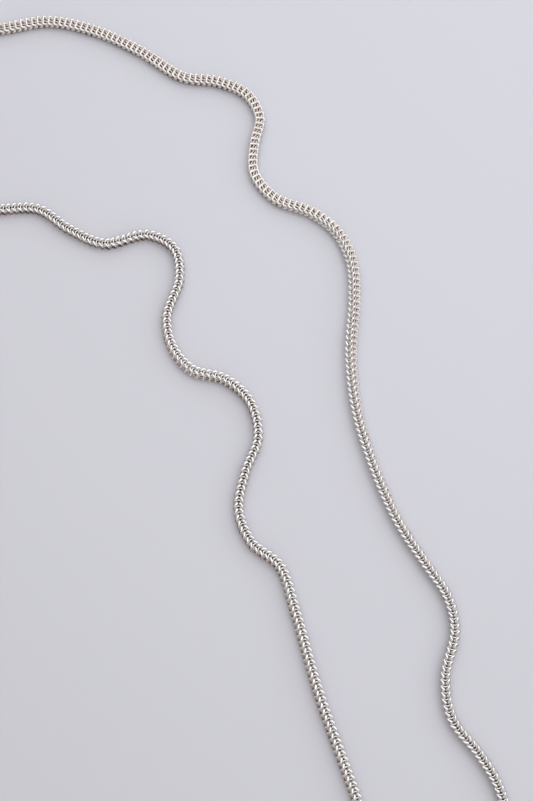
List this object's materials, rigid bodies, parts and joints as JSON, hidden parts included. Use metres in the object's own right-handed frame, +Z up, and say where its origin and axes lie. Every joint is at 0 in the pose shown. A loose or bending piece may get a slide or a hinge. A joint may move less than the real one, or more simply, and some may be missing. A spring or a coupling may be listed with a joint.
{
  "type": "foxtail chain",
  "caption": "Closed foxtail chain necklace: slanting oval side links held by a row of small centre rings, square in section, laid in loose curves, with end caps, a jump ring and a clasp.",
  "frame": {"origin": "on the surface that the chain lies on, under the middle of the whole loop's box", "axes": "+Z up from the surface; +Y away from the viewer, along the loop's longest extent; +X to the viewer's right"},
  "size_m": [0.15, 0.2195, 0.004],
  "materials": {
    "chain_silver": "polished silver wire, bright on the outer curves, with warm brown tarnish in the recesses",
    "fittings_silver": "polished silver with fine wear marks"
  },
  "bodies": {
    "root": {"chain_outer": "chain_silver", "chain_inner": "chain_silver", "end_cap_upper": "fittings_silver", "end_cap_lower": "fittings_silver", "jump_ring": "fittings_silver", "clasp": "fittings_silver"}
  },
  "joints": []
}
